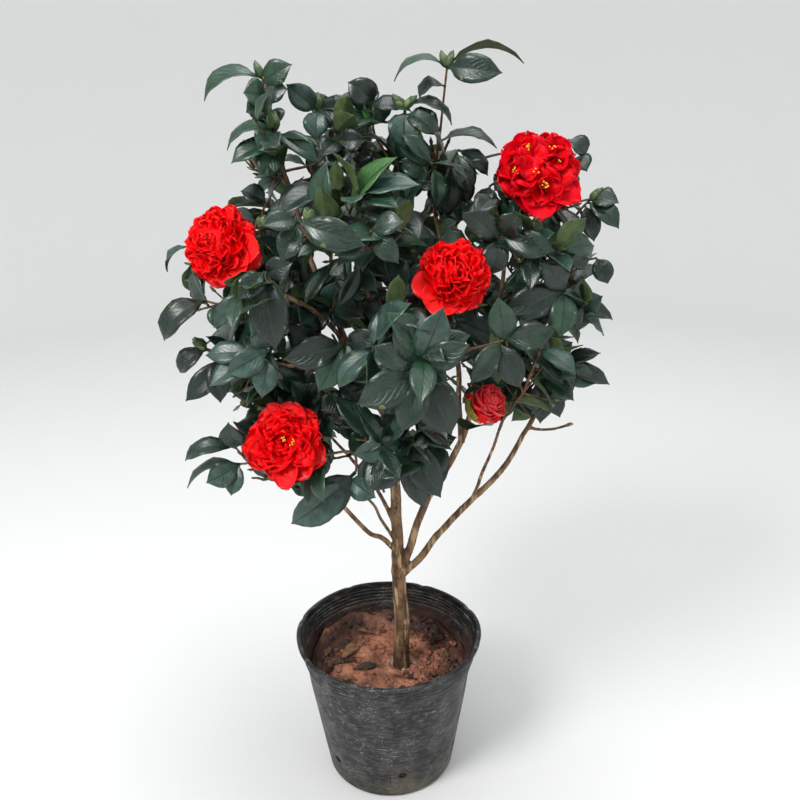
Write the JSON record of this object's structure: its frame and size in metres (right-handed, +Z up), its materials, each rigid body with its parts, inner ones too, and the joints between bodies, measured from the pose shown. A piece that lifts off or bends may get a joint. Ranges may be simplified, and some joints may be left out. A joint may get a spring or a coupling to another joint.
{
  "type": "camellia shrub in a nursery pot",
  "caption": "Potted camellia shrub: short trunk forking low, rising boughs, masses of glossy leaves, red double blooms and plump buds, in a round tapered black pot of soil.",
  "frame": {"origin": "centre of the pot's flat underside", "axes": "+Z up along the pot's axis, -Y the plant's front, +X its right seen from the front"},
  "size_m": [0.4156, 0.3589, 0.7671],
  "materials": {
    "pot_plastic": "satin",
    "clay_soil": "rough",
    "bark": "smooth bark",
    "foliage": "glossy"
  },
  "bodies": {
    "root": {"back_bough": "bark", "back_foliage": "foliage", "back_left_bough": "bark", "back_left_foliage": "foliage", "back_low_bough": "bark", "back_low_foliage": "foliage", "back_right_bough": "bark", "back_right_foliage": "foliage", "bare_side_twig": "bark", "central_bough": "bark", "front_bough": "bark", "front_foliage": "foliage", "inner_left_foliage": "foliage", "left_bough": "bark", "left_foliage": "foliage", "left_inner_bough": "bark", "left_low_bough": "bark", "left_low_foliage": "foliage", "left_side_bough": "bark", "left_thin_bough": "bark", "low_front_bough": "bark", "low_front_foliage": "foliage", "lower_left_foliage": "foliage", "lower_right_foliage": "foliage", "middle_left_bough": "bark", "middle_left_foliage": "foliage", "pot": "pot_plastic", "right_bough": "bark", "right_centre_bough": "bark", "right_foliage": "foliage", "right_inner_foliage": "foliage", "right_side_bough": "bark", "right_upright_bough": "bark", "soil": "clay_soil", "top_bough": "bark", "top_foliage": "foliage", "top_left_foliage": "foliage", "top_right_bough": "bark", "top_right_foliage": "foliage", "trunk": "bark", "upper_front_bough": "bark", "upper_front_foliage": "foliage", "upper_left_bough": "bark", "upper_right_foliage": "foliage"}
  },
  "joints": []
}
